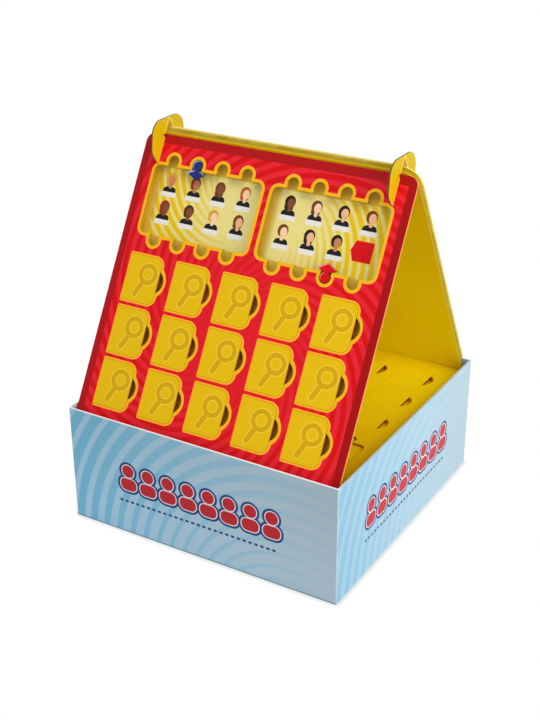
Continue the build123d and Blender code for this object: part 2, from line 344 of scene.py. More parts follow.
def add(tree, kind, inputs=(), **settings):
    """Adds one shader node. inputs gives values, nodes (their first output) or sockets, by socket."""
    node = tree.nodes.new("ShaderNode" + kind)
    for name, value in settings.items():
        setattr(node, name, value)
    for socket, value in dict(inputs).items():
        if isinstance(value, str):
            value = linear(value)
        if isinstance(value, bpy.types.Node):
            value = value.outputs[0]
        if isinstance(value, bpy.types.NodeSocket):
            tree.links.new(value, node.inputs[socket])
        else:
            node.inputs[socket].default_value = value
    return node


def scalar_math(tree, operation, *values):
    """A math node on one to three values."""
    return add(tree, "Math", enumerate(values), operation=operation)


def vector_math(tree, operation, *values):
    """A vector math node on one to three points."""
    return add(tree, "VectorMath", enumerate(values), operation=operation)


def length_of(tree, point):
    """Distance of a point from the origin."""
    return vector_math(tree, "LENGTH", point).outputs["Value"]


def ramped(tree, value, span=(0.0, 1.0), start=0.0, end=1.0):
    """A tone that goes from its start to its end while a value crosses a span."""
    return add(tree, "MapRange", {"Value": value, 1: span[0], 2: span[1], 3: start, 4: end})


# ------------------------------------------------------------------ shapes on a printed sheet
def within(tree, distance, limit, soft=0.08):
    """1 where a distance is under the limit, 0 past it, with a thin soft step."""
    return ramped(tree, distance, (limit - soft, limit + soft), 1.0, 0.0)


def ink(tree, mask, over, under):
    """One ink over another where the mask is 1."""
    mix = add(tree, "Mix", {0: mask, 6: under, 7: over}, data_type="RGBA")
    return mix.outputs[2]


def brightened(tree, colour, gain):
    """An ink made brighter or duller by a gain."""
    scaled = add(tree, "VectorMath", {0: colour, "Scale": gain}, operation="SCALE")
    return scaled.outputs[0]


def shifted(tree, point, place=(0, 0), stretch=(1, 1)):
    """Point on the sheet seen from a place, with its height dropped, its axes stretched."""
    moved = vector_math(tree, "SUBTRACT", point, (*place, 0))
    return vector_math(tree, "MULTIPLY", moved, (*stretch, 0))


def box_distance(tree, point, size, radius):
    """Distance to a rounded rectangle at the origin: |max(|p| - inner half size, 0)| - radius."""
    inner = (size[0] / 2 - radius, size[1] / 2 - radius, 0)
    folded = vector_math(tree, "ABSOLUTE", point)
    beyond = vector_math(tree, "SUBTRACT", folded, inner)
    outside = vector_math(tree, "MAXIMUM", beyond, (0, 0, 0))
    return scalar_math(tree, "SUBTRACT", length_of(tree, outside), radius)


def disc_distance(tree, point, radius):
    """Distance to a disc at the origin."""
    return scalar_math(tree, "SUBTRACT", length_of(tree, point), radius)


def block_at(tree, point, place, size, corner):
    """Distance to a rounded rectangle at a place."""
    return box_distance(tree, shifted(tree, point, place), size, corner)


def oval_at(tree, point, place, stretch, radius):
    """Distance to a disc at a place, on stretched axes."""
    return disc_distance(tree, shifted(tree, point, place, stretch), radius)


def joined(tree, first, *others):
    """Distance to several shapes together."""
    for other in others:
        first = scalar_math(tree, "MINIMUM", first, other)
    return first


def in_cells(tree, point, first, pitch, count):
    """Point from the centre of its own cell, and the cell's number, in a grid of count cells."""
    corner = (first[0] - pitch[0] / 2, first[1] - pitch[1] / 2, 0)
    last = (count[0] - 1, count[1] - 1, 0)
    moved = vector_math(tree, "SUBTRACT", point, corner)
    step = vector_math(tree, "DIVIDE", moved, (*pitch, 1))
    cell = vector_math(tree, "FLOOR", step)
    cell = vector_math(tree, "MAXIMUM", cell, (0, 0, 0))
    cell = vector_math(tree, "MINIMUM", cell, last)
    start = vector_math(tree, "MULTIPLY_ADD", cell, (*pitch, 0), (*first, 0))
    local = vector_math(tree, "SUBTRACT", point, start)
    return shifted(tree, local), cell


def swirl(tree, point, middle, arms, twist, bend, start):
    """Swirl stripes: cos(arms x angle + (twist + bend x radius) x radius + start), and the radius."""
    spoke = shifted(tree, point, middle)
    radius = length_of(tree, spoke)
    parts = add(tree, "SeparateXYZ", {0: spoke})
    angle = scalar_math(tree, "ARCTAN2", parts.outputs["Y"], parts.outputs["X"])
    rate = scalar_math(tree, "MULTIPLY_ADD", radius, bend, twist)
    turn = scalar_math(tree, "MULTIPLY_ADD", radius, rate, start)
    phase = scalar_math(tree, "MULTIPLY_ADD", angle, arms, turn)
    return scalar_math(tree, "COSINE", phase), radius


def tile_distance(tree, point):
    """Distance to a door's tile: square by the crease, round at the free edge, bulging at the finger hole."""
    width = TILE_RIGHT - TILE_LEFT
    whole = shifted(tree, point, (TILE_LEFT + width / 2, 0))
    half = shifted(tree, point, (TILE_LEFT + width / 4, 0))
    bump = shifted(tree, point, (TILE_BUMP_REACH - TILE_BUMP_RADIUS, 0))
    return joined(
        tree,
        box_distance(tree, whole, (width, TILE_HEIGHT), TILE_CORNER),
        box_distance(tree, half, (width / 2, TILE_HEIGHT), TILE_CREASE_CORNER),
        disc_distance(tree, bump, TILE_BUMP_RADIUS),
    )


def window_distance(tree, point):
    """Distance to the nearer of two windows, with their rows of keyhole notches."""
    pitch = (WINDOW_SPACING, WINDOW_ROW)
    local, _ = in_cells(tree, point, (-WINDOW_SPACING / 2, WINDOW_ROW), pitch, (2, 1))
    pane = box_distance(tree, local, WINDOW_SIZE, WINDOW_CORNER)
    height = vector_math(tree, "ABSOLUTE", local)
    height = vector_math(tree, "MULTIPLY", height, (0, 1, 0))
    mirrored = vector_math(tree, "MULTIPLY_ADD", local, (1, 0, 0), height)
    first = (-(NOTCH_COUNT - 1) / 2 * NOTCH_PITCH, NOTCH_ROW)
    notch, _ = in_cells(tree, mirrored, first, (NOTCH_PITCH, NOTCH_ROW), (NOTCH_COUNT, 1))
    neck = shifted(tree, notch, (0, -NOTCH_BEYOND_EDGE / 2))
    return joined(
        tree,
        pane,
        disc_distance(tree, notch, NOTCH_RADIUS),
        box_distance(tree, neck, (NOTCH_NECK, NOTCH_BEYOND_EDGE), NOTCH_NECK_CORNER),
    )


def magnifier_distance(tree, point):
    """Distance to a magnifying glass: a ring, and a handle below it on the left."""
    ring = disc_distance(tree, shifted(tree, point, LENS_MIDDLE), LENS_RADIUS)
    ring = scalar_math(tree, "SUBTRACT", scalar_math(tree, "ABSOLUTE", ring), LENS_RING)
    base = shifted(tree, point, HANDLE_MIDDLE)
    tilted = add(tree, "Mapping", {"Vector": base, "Rotation": (0, 0, HANDLE_TURN)})
    return joined(tree, ring, box_distance(tree, tilted, HANDLE_SIZE, HANDLE_CORNER))


# ------------------------------------------------------------------ finishes shared by the boards
def new_material(name):
    """Empty node material."""
    material = bpy.data.materials.new(name)
    material.use_nodes = True
    material.node_tree.nodes.clear()
    return material, material.node_tree


def finish(tree, colour, roughness=0.4, gloss=0.18, fibre_depth=0.012):
    """Satin film over ink: the board's fibres and waves telegraph through it, and smears dull it."""
    place = add(tree, "TexCoord").outputs["Object"]
    fibre = add(tree, "TexNoise", {"Vector": place, "Scale": PER_MM / FIBRE_SIZE, "Detail": 2.0})
    wave = add(tree, "TexNoise", {"Vector": place, "Scale": PER_MM / WAVE_SIZE, "Detail": 1.0})
    swell = wave.outputs["Fac"]
    height = scalar_math(tree, "MULTIPLY_ADD", swell, WAVE_SHARE, fibre.outputs["Fac"])
    bump = {"Height": height, "Strength": RELIEF_STRENGTH, "Distance": fibre_depth * MM}
    relief = add(tree, "Bump", bump)
    smear = add(tree, "TexNoise", {"Vector": place, "Scale": PER_MM / SMEAR_SIZE, "Detail": 3.0})
    rough = ramped(tree, smear.outputs["Fac"], start=roughness - 0.05, end=roughness + 0.07)
    surface = {"Base Color": colour, "Roughness": rough, "Normal": relief, "Specular IOR Level": gloss}
    add(tree, "OutputMaterial", {"Surface": add(tree, "BsdfPrincipled", surface)})


def facing(tree, direction, limit=0.8):
    """1 on faces of the undressed shape that look along a direction."""
    normal = add(tree, "TexCoord").outputs["Normal"]
    along = vector_math(tree, "DOT_PRODUCT", normal, tuple(direction))
    return scalar_math(tree, "GREATER_THAN", along.outputs["Value"], limit)


def facing_x(tree, limit=0.7):
    """1 on faces that look along X either way."""
    normal = add(tree, "TexCoord").outputs["Normal"]
    size = vector_math(tree, "ABSOLUTE", normal)
    along = add(tree, "SeparateXYZ", {0: size}).outputs["X"]
    return scalar_math(tree, "GREATER_THAN", along, limit)


def sheet_point(tree, turn, foot):
    """Place on a sheet in millimetres: X across, Y up from its foot, Z out of its printed face."""
    place = add(tree, "TexCoord").outputs["Object"]
    moved = vector_math(tree, "SUBTRACT", place, tuple(foot))
    scale = (PER_MM, PER_MM, PER_MM)
    return add(tree, "Mapping", {"Vector": moved, "Rotation": (turn, 0, 0), "Scale": scale})


def back_line(tree):
    """Distance in millimetres behind the outer face of the back board's tray, in the side view."""
    place = add(tree, "TexCoord").outputs["Object"]
    moved = vector_math(tree, "SUBTRACT", place, tuple(back_outer_foot))
    along = vector_math(tree, "DOT_PRODUCT", moved, tuple(back_out * PER_MM))
    return along.outputs["Value"]


def speckled(tree, size, dark, light):
    """Two tones of pulp in a fine grain of the given size in millimetres."""
    place = add(tree, "TexCoord").outputs["Object"]
    grain = add(tree, "TexNoise", {"Vector": place, "Scale": PER_MM / size, "Detail": 3.0})
    tone = ramped(tree, grain.outputs["Fac"], GRAIN_SPAN)
    return ink(tree, tone, light, dark)


def stepped_ramp(tree, value, colours):
    """Picks one of several colours by a value from 0 to 1, in equal steps."""
    ramp = add(tree, "ValToRGB", {0: value})
    ramp.color_ramp.interpolation = "CONSTANT"
    elements = ramp.color_ramp.elements
    while len(elements) < len(colours):
        elements.new(1.0)
    for index, colour in enumerate(colours):
        elements[index].position = index / len(colours)
        elements[index].color = linear(colour)
    return ramp


# ------------------------------------------------------------------ door boards
def red_print(tree, point):
    """Red swirl, calm near its hub, inside a dark border with painted shade on its right part."""
    stripes, radius = swirl(tree, point, **RED_SWIRL)
    near = ramped(tree, radius, RED_HUB, 0.8, 0.0)
    dark = ink(tree, near, INK_RED_MIDDLE, INK_RED)
    light = ink(tree, near, INK_RED_MIDDLE, INK_RED_LIGHT)
    red = ink(tree, within(tree, stripes, 0.0, soft=0.25), dark, light)
    border = board_distance(tree, point, BORDER_WIDTH - BORDER_TOP)
    across = add(tree, "SeparateXYZ", {0: point}).outputs["X"]
    # painted shade: the border's right part is painted darker than its left
    left_part = within(tree, across, board_half_width - 2 * BORDER_WIDTH, soft=2.0)
    frame_red = ink(tree, left_part, INK_BORDER, INK_BORDER_RIGHT_SHADE)
    return ink(tree, within(tree, border, -BORDER_WIDTH), red, frame_red)


def board_distance(tree, point, drop):
    """Distance to a door board's outline, moved up by a drop: square at its foot, round at its top."""
    height = front_length + board_half_width
    middle = shifted(tree, point, (0, front_length - height / 2 + drop))
    return box_distance(tree, middle, (2 * board_half_width, height), BOARD_CORNER)


def door_board_print(name, turn, foot, normal):
    """Offset print on board: red swirl in a dark border, a yellow tile round each door, edged windows."""
    material, tree = new_material(name)
    point = sheet_point(tree, turn, foot)
    red = red_print(tree, point)

    # each door's cell starts a little left of its crease, so that a tile lies in one cell
    first = (HINGE_X + DOOR_PITCH[0] / 2 - TILE_CELL_START, LOWEST_ROW)
    local, _ = in_cells(tree, point, first, DOOR_PITCH, (DOOR_COLUMNS, DOOR_ROWS))
    local = shifted(tree, local, (TILE_CELL_START - DOOR_PITCH[0] / 2, 0))
    window = scalar_math(tree, "SUBTRACT", window_distance(tree, point), WINDOW_BAND)
    edge = joined(tree, tile_distance(tree, local), window)
    colour = ink(tree, within(tree, edge, 0.0), INK_ORANGE, red)
    colour = ink(tree, within(tree, edge, -OUTLINE_WIDTH), INK_YELLOW, colour)
    motif = magnifier_distance(tree, shifted(tree, local, MOTIF_MIDDLE))
    colour = ink(tree, within(tree, motif, MOTIF_LINE, soft=0.2), INK_MOTIF_LINE, colour)
    colour = ink(tree, within(tree, motif, 0.0, soft=0.2), INK_MOTIF, colour)

    # painted shade: a finger hole's mouth is painted dark past the cut, so that its shadowed hole looks wider
    mouth_shade = disc_distance(tree, shifted(tree, local, (MOUTH_REACH - MOUTH_RADIUS, 0)), MOUTH_RADIUS)
    across = add(tree, "SeparateXYZ", {0: local}).outputs["X"]
    inside = scalar_math(tree, "SUBTRACT", DOOR_WIDTH - MOUTH_PAST_CUT, across)
    mouth_shade = scalar_math(tree, "MAXIMUM", mouth_shade, inside)
    mouth_shade = within(tree, mouth_shade, 0.0)
    colour = ink(tree, mouth_shade, KRAFT_DARK_AND_HOLE_SHADE, colour)

    colour = ink(tree, facing(tree, normal), colour, cut_faces(tree, point, window))
    # the inner face gets the same painted hole shade, in kraft
    inner = ink(tree, mouth_shade, KRAFT, inner_yellow(tree))
    colour = ink(tree, facing(tree, -normal), inner, colour)
    finish(tree, colour)
    return material


def cut_faces(tree, point, window):
    """Cut faces: pale toothed pulp under the folded print outside, dark kraft in the punched openings."""
    outline = board_distance(tree, point, 0)
    depth = add(tree, "SeparateXYZ", {0: point}).outputs["Z"]
    teeth = {"Vector": point, "Scale": TOOTH_RATE, "Distortion": TOOTH_WANDER}
    tooth = add(tree, "TexWave", teeth, bands_direction="Y")
    pulp = ink(tree, tooth.outputs["Fac"], CUT_EDGE_LIGHT, CUT_EDGE)
    pulp = ink(tree, within(tree, depth, -FOLDED_PRINT * thickness, soft=0.1), pulp, INK_BORDER)
    kraft = speckled(tree, KRAFT_GRAIN, KRAFT_DARK_AND_HOLE_SHADE, KRAFT)
    window_edge = speckled(tree, GOLD_GRAIN, GOLD_EDGE, KRAFT_LIGHT)
    punched = ink(tree, within(tree, window, 0.0), window_edge, kraft)
    return ink(tree, within(tree, outline, -OUTER_CUT_REACH), punched, pulp)


def inner_yellow(tree):
    """Yellow of the faces that look into the tent: painted light along the crease, painted shade at the front
    right.
    """
    place = add(tree, "TexCoord").outputs["Object"]
    corner = vector_math(tree, "DOT_PRODUCT", place, TENT_CORNER_WEIGHTS)
    # painted shade towards the tent's front right corner
    dull = ramped(tree, corner.outputs["Value"], TENT_CORNER_SHADE)
    colour = ink(tree, dull, INK_INNER_SHADE, INK_INNER_YELLOW)
    # painted light along the crease, fading out to the right
    moved = vector_math(tree, "SUBTRACT", place, tuple(crease))
    moved = vector_math(tree, "MULTIPLY", moved, (0, PER_MM, PER_MM))
    reach = length_of(tree, moved)
    near = ramped(tree, reach, CREASE_LIGHT_REACH, 1.0, 0.0)
    across = add(tree, "SeparateXYZ", {0: place}).outputs["X"]
    left = ramped(tree, across, CREASE_LIGHT_RIGHT_END, 1.0, 0.0)
    crease_light = scalar_math(tree, "MULTIPLY", near, left)
    return ink(tree, crease_light, INK_INNER_LIGHT, colour)


# ------------------------------------------------------------------ plain yellow boards and clips
def yellow_laminate(name, dark, light):
    """Yellow ink under a satin film: an even tone with faint, wide blotches."""
    material, tree = new_material(name)
    finish(tree, speckled(tree, BLOTCH_SIZE, dark, light))
    return material


def clip_board(name):
    """Solid greyboard under yellow laminate: dark punched edges, pale lines along the slot, painted shade in
    the slot's top above the ridge, and painted shade darkening the face upwards.
    """
    material, tree = new_material(name)
    point = sheet_point(tree, -front_lean, front_foot)
    behind = back_line(tree)
    parts = add(tree, "SeparateXYZ", {0: point})
    slot = scalar_math(tree, "MAXIMUM", parts.outputs["Z"], behind)
    above = scalar_math(tree, "GREATER_THAN", parts.outputs["Y"], front_length)
    span = (front_length - CLIP_SHADE_BELOW, front_length + CLIP_SHADE_ABOVE)
    # painted shade: the face is painted darker towards its crown
    face = ink(tree, ramped(tree, parts.outputs["Y"], span), CLIP_CROWN_SHADE, CLIP_FOOT)
    face = ink(tree, within(tree, slot, CLIP_RIM_WIDTH, soft=0.25), CLIP_RIM, face)
    lip = within(tree, slot, CLIP_LIP_WIDTH, soft=0.25)
    lip = scalar_math(tree, "MULTIPLY", lip, above)
    # painted shade in the top of the slot, above the ridge
    slot_shade = within(tree, slot, CLIP_SLOT_SHADE_WIDTH, soft=0.25)
    slot_shade = scalar_math(tree, "MULTIPLY", slot_shade, above)
    face = ink(tree, lip, CLIP_LIP, face)
    face = ink(tree, slot_shade, SLOT_SHADE_OCHRE, face)
    edge = speckled(tree, KRAFT_GRAIN, GREYBOARD_DARK, GREYBOARD)
    colour = ink(tree, facing(tree, (1, 0, 0)), face, edge)
    colour = ink(tree, facing(tree, (-1, 0, 0)), face, colour)
    finish(tree, colour)
    return material


def folded_back(name):
    """Back board: yellow faces; on its edge a pale line painted as a highlight along the skin, mottled khaki
    and olive painted as the shade of the channel between sheet and tray, and a pale line painted as a
    highlight along the corner.
    """
    material, tree = new_material(name)
    behind = back_line(tree)
    # painted shade on the edge's rim and board, painted highlights on its skin and corner
    rim = speckled(tree, RIM_MOTTLE, KHAKI_DARK, KHAKI_SHADE)
    edge = ink(tree, within(tree, behind, -BACK_SHEET, soft=0.1), OLIVE_SHADE, rim)
    edge = ink(tree, within(tree, behind, -BACK_CORNER_LINE, soft=0.15), PALE_CORNER_HIGHLIGHT, edge)
    edge = ink(tree, within(tree, behind, -BACK_SKIN, soft=0.1), edge, PALE_LIP_HIGHLIGHT)
    outer = speckled(tree, BLOTCH_SIZE, LAMINATE, LAMINATE_LIGHT)
    colour = ink(tree, facing(tree, back_out, limit=0.9), outer, edge)
    inner_face = within(tree, behind, -BACK_SHEET)
    inner = scalar_math(tree, "MULTIPLY", facing(tree, -back_out, limit=0.9), inner_face)
    finish(tree, ink(tree, inner, inner_yellow(tree), colour), gloss=0.04)
    return material


# ------------------------------------------------------------------ carton
def carton_wrap(name):
    """Printed paper wrapped round carton: pale blue swirl and a row of faces outside, liner inside."""
    material, tree = new_material(name)
    coords = add(tree, "TexCoord")
    place = vector_math(tree, "MULTIPLY", coords.outputs["Object"], (PER_MM,) * 3)
    parts = add(tree, "SeparateXYZ", {0: place})
    end_wall = facing_x(tree)
    across = across_wall(tree, coords, parts, end_wall)
    sheet = add(tree, "CombineXYZ", {"X": across, "Y": parts.outputs["Z"]})
    colour = face_row(tree, sheet, blue_swirl(tree, sheet, across, end_wall))
    colour = wall_shade(tree, colour, parts, across, end_wall)

    # the paper is rubbed pale along its corners and edges, with a painted highlight there as well, and a
    # painted contact shadow runs along the foot of the front
    size = vector_math(tree, "ABSOLUTE", place)
    past = vector_math(tree, "SUBTRACT", size, tuple(tray_high))
    past = add(tree, "SeparateXYZ", {0: past})
    outer = scalar_math(tree, "MAXIMUM", past.outputs["X"], past.outputs["Y"])
    corner = scalar_math(tree, "MINIMUM", past.outputs["X"], past.outputs["Y"])
    foot = scalar_math(tree, "SUBTRACT", tray_low.z, parts.outputs["Z"])
    corner = scalar_math(tree, "ADD", corner, CORNER_WEAR)
    edge = scalar_math(tree, "MAXIMUM", corner, past.outputs["Z"])
    edge = scalar_math(tree, "MAXIMUM", edge, foot)
    rub = add(tree, "TexNoise", {"Vector": place, "Scale": 1 / RUB_SIZE, "Detail": 4.0})
    rubbed = scalar_math(tree, "MULTIPLY_ADD", rub.outputs["Fac"], RUB_REACH, edge)
    worn_and_highlight = ramped(tree, rubbed, RUB_SPAN)
    colour = ink(tree, worn_and_highlight, WORN_WRAP_AND_HIGHLIGHT, colour)
    # painted contact shadow along the foot of the front and back walls
    foot_shadow = within(tree, parts.outputs["Z"], tray_low.z + FOOT_SHADOW_HEIGHT, soft=0.3)
    foot_shadow = add(tree, "Math", {0: foot_shadow, 1: end_wall}, operation="SUBTRACT", use_clamp=True)
    colour = ink(tree, foot_shadow, WRAP_FOOT_SHADOW, colour)

    # inside the walls and on the rim the liner shows: its own pale tone on the front of the rim, and a
    # blue-grey painted as shade inside the walls and on the rest of the rim
    outside = scalar_math(tree, "GREATER_THAN", outer, -WALL_SKIN)
    colour = ink(tree, outside, colour, LINER)
    front_rim = within(tree, parts.outputs["Y"], tray_low.y + FRONT_RIM)
    rim = ink(tree, front_rim, LINER_RIM, LINER)
    colour = ink(tree, facing(tree, (0, 0, 1), limit=0.5), rim, colour)
    finish(tree, colour, roughness=0.36)
    return material


def across_wall(tree, coords, parts, end_wall):
    """Distance from left to right on each wall of the carton, as it is seen from outside."""
    normal = add(tree, "SeparateXYZ", {0: coords.outputs["Normal"]})
    sign_x = scalar_math(tree, "SIGN", normal.outputs["X"])
    sign_y = scalar_math(tree, "MULTIPLY", normal.outputs["Y"], -1.0)
    sign_y = scalar_math(tree, "SIGN", sign_y)
    along_front = scalar_math(tree, "MULTIPLY", parts.outputs["X"], sign_y)
    along_end = scalar_math(tree, "MULTIPLY", parts.outputs["Y"], sign_x)
    return add(tree, "Mix", {0: end_wall, 2: along_front, 3: along_end}, data_type="FLOAT")


def blue_swirl(tree, sheet, across, end_wall):
    """Pale blue swirl that thins away from its hub and fades to the right, fainter on the end walls."""
    stripes, radius = swirl(tree, sheet, **WRAP_SWIRL)
    share = ramped(tree, radius, WRAP_THINNING, 0.6, -0.4)
    over = scalar_math(tree, "SUBTRACT", share, stripes)
    fade = ramped(tree, across, WRAP_FADE, 1.0, 0.15)
    shade = scalar_math(tree, "MULTIPLY", within(tree, over, 0.0, soft=0.2), fade)
    strength = ramped(tree, end_wall, start=1.0, end=0.6)
    shade = scalar_math(tree, "MULTIPLY", shade, strength)
    colour = ink(tree, shade, INK_BLUE, ink(tree, fade, INK_BLUE_PALE, INK_BLUE_GREY))
    veil = scalar_math(tree, "MULTIPLY", end_wall, END_WALL_VEIL)
    return ink(tree, veil, INK_VEIL, colour)


def wall_shade(tree, colour, parts, across, end_wall):
    """Painted shade and light on the walls: a little darker near the top and right of the front and at the
    front of the ends, slightly lighter towards the back of the ends.
    """
    top_gain = ramped(tree, parts.outputs["Z"], WALL_HEIGHT_SHADE, 1.01, 0.9)
    right_gain = ramped(tree, across, FRONT_RIGHT_SHADE, 1.0, 0.95)
    front_gain = scalar_math(tree, "MULTIPLY", top_gain, right_gain)
    end_gain = ramped(tree, across, END_WALL_SHADE, 0.88, 1.05)
    gain = add(tree, "Mix", {0: end_wall, 2: front_gain, 3: end_gain}, data_type="FLOAT")
    return brightened(tree, colour, gain)


def face_row(tree, sheet, under):
    """A row of plain heads and shoulders in red with a navy rim, and a dotted rule under them."""
    local, _ = in_cells(tree, sheet, FACE_FIRST, FACE_CELL, (FACE_COUNT, 1))
    person = joined(tree, oval_at(tree, local, *HEAD), block_at(tree, local, *SHOULDERS))
    colour = ink(tree, within(tree, person, FACE_NAVY_LINE), INK_NAVY, under)
    colour = ink(tree, within(tree, person, FACE_PALE_LINE), INK_FACE_LINE, colour)
    colour = ink(tree, within(tree, person, FACE_SPREAD), INK_FACE, colour)
    dot, _ = in_cells(tree, sheet, DOT_FIRST, DOT_CELL, (DOT_COUNT, 1))
    dot = box_distance(tree, dot, DOT_SIZE, DOT_CORNER)
    return ink(tree, within(tree, dot, 0.0), INK_NAVY, colour)


# ------------------------------------------------------------------ character card
def bust_print(tree, local, cell, scale, under):
    """A featureless head and shoulders over a blank white plate, in colours picked by its cell."""
    pick = add(tree, "TexWhiteNoise", {"Vector": cell}, noise_dimensions="3D")
    chance = add(tree, "SeparateXYZ", {0: pick.outputs["Color"]})
    hair_tone = stepped_ramp(tree, chance.outputs["X"], HAIR_TONES)
    skin_tone = stepped_ramp(tree, chance.outputs["Y"], SKIN_TONES)
    length = ramped(tree, chance.outputs["Z"], end=-HAIR_DROP)
    drop = add(tree, "CombineXYZ", {"Y": length})
    small = shifted(tree, local, (0, 0), (1 / scale, 1 / scale))
    long_hair = vector_math(tree, "SUBTRACT", small, drop)
    hair = joined(tree, oval_at(tree, small, *HAIR_CROWN), block_at(tree, long_hair, *HAIR_FALL))
    skin = joined(tree, oval_at(tree, small, *FACE_OVAL), block_at(tree, small, *NECK))
    shirt = block_at(tree, small, *SHIRT)
    plate = block_at(tree, small, *PLATE)
    colour = ink(tree, within(tree, hair, 0.0), hair_tone, under)
    colour = ink(tree, within(tree, shirt, 0.0), INK_SHIRT, colour)
    colour = ink(tree, within(tree, skin, 0.0), skin_tone, colour)
    return ink(tree, within(tree, plate, 0.0), INK_PLATE, colour)


def tag_print(tree, tag, under):
    """A plain red tag with a short blunt point to the left, in the last cell of the card."""
    body = block_at(tree, tag, *TAG_BODY)
    tip = shifted(tree, tag, TAG_TIP, TAG_TIP_STRETCH)
    turned = add(tree, "Mapping", {"Vector": tip, "Rotation": (0, 0, pi / 4)})
    tag = joined(tree, body, box_distance(tree, turned, TAG_TIP_SIZE, TAG_TIP_CORNER))
    colour = ink(tree, within(tree, tag, TAG_LINE, soft=0.2), INK_TAG_LINE, under)
    return ink(tree, within(tree, tag, 0.0), INK_TAG, colour)


def card_ground(tree, point):
    """Pale card with swirl stripes that widen away from their hub."""
    stripes, radius = swirl(tree, point, **CARD_SWIRL)
    far = ramped(tree, radius, CARD_HUB)
    limit = ramped(tree, radius, CARD_WIDENING, -0.7, 0.3)
    under = scalar_math(tree, "SUBTRACT", stripes, limit)
    shade = scalar_math(tree, "MULTIPLY", within(tree, under, 0.0, soft=0.3), far)
    return ink(tree, shade, INK_CARD_STRIPE, INK_CARD_PALE)


def window_busts(tree, point, ground):
    """Two rows of small busts under each window, with a red tag in place of the last one."""
    colour = ground
    for left, seed in zip(BUST_LEFT, SMALL_BUST_SEEDS):
        local, cell = in_cells(tree, point, (left, BUST_ROW), BUST_PITCH, (NOTCH_COUNT, 2))
        number = vector_math(tree, "ADD", cell, seed)
        colour = bust_print(tree, local, number, 1.0, colour)
    last_cell = shifted(tree, point, (TAG_LEFT + 3 * BUST_PITCH[0], BUST_ROW))
    blank = box_distance(tree, last_cell, BUST_PITCH, TAG_CELL_CORNER)
    colour = ink(tree, within(tree, blank, 0.0), ground, colour)
    return tag_print(tree, last_cell, colour)


def window_frame(tree, point, colour):
    """Gold band painted on the card as the windows' side walls, seen along the left and in the notches, with
    painted shadow beside it and painted light towards each window's top.
    """
    spacing = (WINDOW_SPACING, WINDOW_ROW)
    pane, _ = in_cells(tree, point, (CARD_FRAME_SHIFT - WINDOW_SPACING / 2, WINDOW_ROW), spacing, (2, 1))
    frame_edge = box_distance(tree, pane, WINDOW_SIZE, WINDOW_CORNER)
    parts = add(tree, "SeparateXYZ", {0: pane})
    left = -WINDOW_SIZE[0] / 2
    shadow = ramped(tree, parts.outputs["X"], (left, left + FRAME_SHADOW), 0.6, 0.0)
    colour = ink(tree, shadow, INK_CARD_SHADOW, colour)
    colour = ink(tree, within(tree, frame_edge, 0.0, soft=0.4), colour, INK_CARD_WALL)
    top = WINDOW_SIZE[1] / 2
    # painted light towards the window's top
    gain = ramped(tree, parts.outputs["Y"], (top - TOP_LIGHT_REACH, top), 1.0, 1.22)
    return brightened(tree, colour, gain)


def door_busts(tree, point, ground):
    """A large bust behind each door, and under its finger hole an orange strip, painted light for the warm
    glow bounced into the hole.
    """
    first = (HINGE_X + LARGE_BUST_MIDDLE, LOWEST_ROW)
    local, cell = in_cells(tree, point, first, DOOR_PITCH, (DOOR_COLUMNS, DOOR_ROWS))
    number = vector_math(tree, "ADD", cell, LARGE_BUST_SEED)
    large = bust_print(tree, local, number, LARGE_BUST_SCALE, ground)
    across = add(tree, "SeparateXYZ", {0: local}).outputs["X"]
    return ink(tree, within(tree, across, DOOR_WIDTH / 2 - HOLLOW_LIGHT_STRIP, soft=0.3), large, INK_HOLLOW_LIGHT)


def card_print(name):
    """Coated card: pale swirl stripes, small busts under the windows, larger ones behind the doors."""
    material, tree = new_material(name)
    point = sheet_point(tree, -front_lean, front_foot)
    ground = card_ground(tree, point)
    under_windows = window_frame(tree, point, window_busts(tree, point, ground))
    height = add(tree, "SeparateXYZ", {0: point}).outputs["Y"]
    behind_doors = within(tree, height, LOWEST_ROW + ROWS_UNDER_DOORS * DOOR_PITCH[1])
    finish(tree, ink(tree, behind_doors, door_busts(tree, point, ground), under_windows))
    return material


# ------------------------------------------------------------------ arrow markers
def past_line(tree, point, start, end):
    """Distance past a line, out to the right hand of a walk from its start to its end."""
    run = Vector(end) - Vector(start)
    outward = Vector((run.y, -run.x)).normalized()
    along = vector_math(tree, "DOT_PRODUCT", point, (*outward, 0))
    return scalar_math(tree, "SUBTRACT", along.outputs["Value"], outward.dot(Vector(start)))


def marker_distance(tree, knob):
    """Distance to an arrow marker that points down, from the centre of its round knob."""
    neck = shifted(tree, knob, (0, -MARKER_SHOULDER))
    size = vector_math(tree, "ABSOLUTE", knob)
    height = vector_math(tree, "MULTIPLY", knob, (0, 1, 0))
    half = vector_math(tree, "MULTIPLY_ADD", size, (1, 0, 0), height)
    shoulder = (MARKER_NECK / 2, -MARKER_SHOULDER)
    under = past_line(tree, half, (0, -MARKER_TIP), MARKER_BARB)
    over = past_line(tree, half, MARKER_BARB, shoulder)
    return joined(
        tree,
        disc_distance(tree, knob, MARKER_KNOB),
        box_distance(tree, neck, (MARKER_NECK, 2 * MARKER_SHOULDER), MARKER_CORNER),
        scalar_math(tree, "MAXIMUM", under, over),
    )


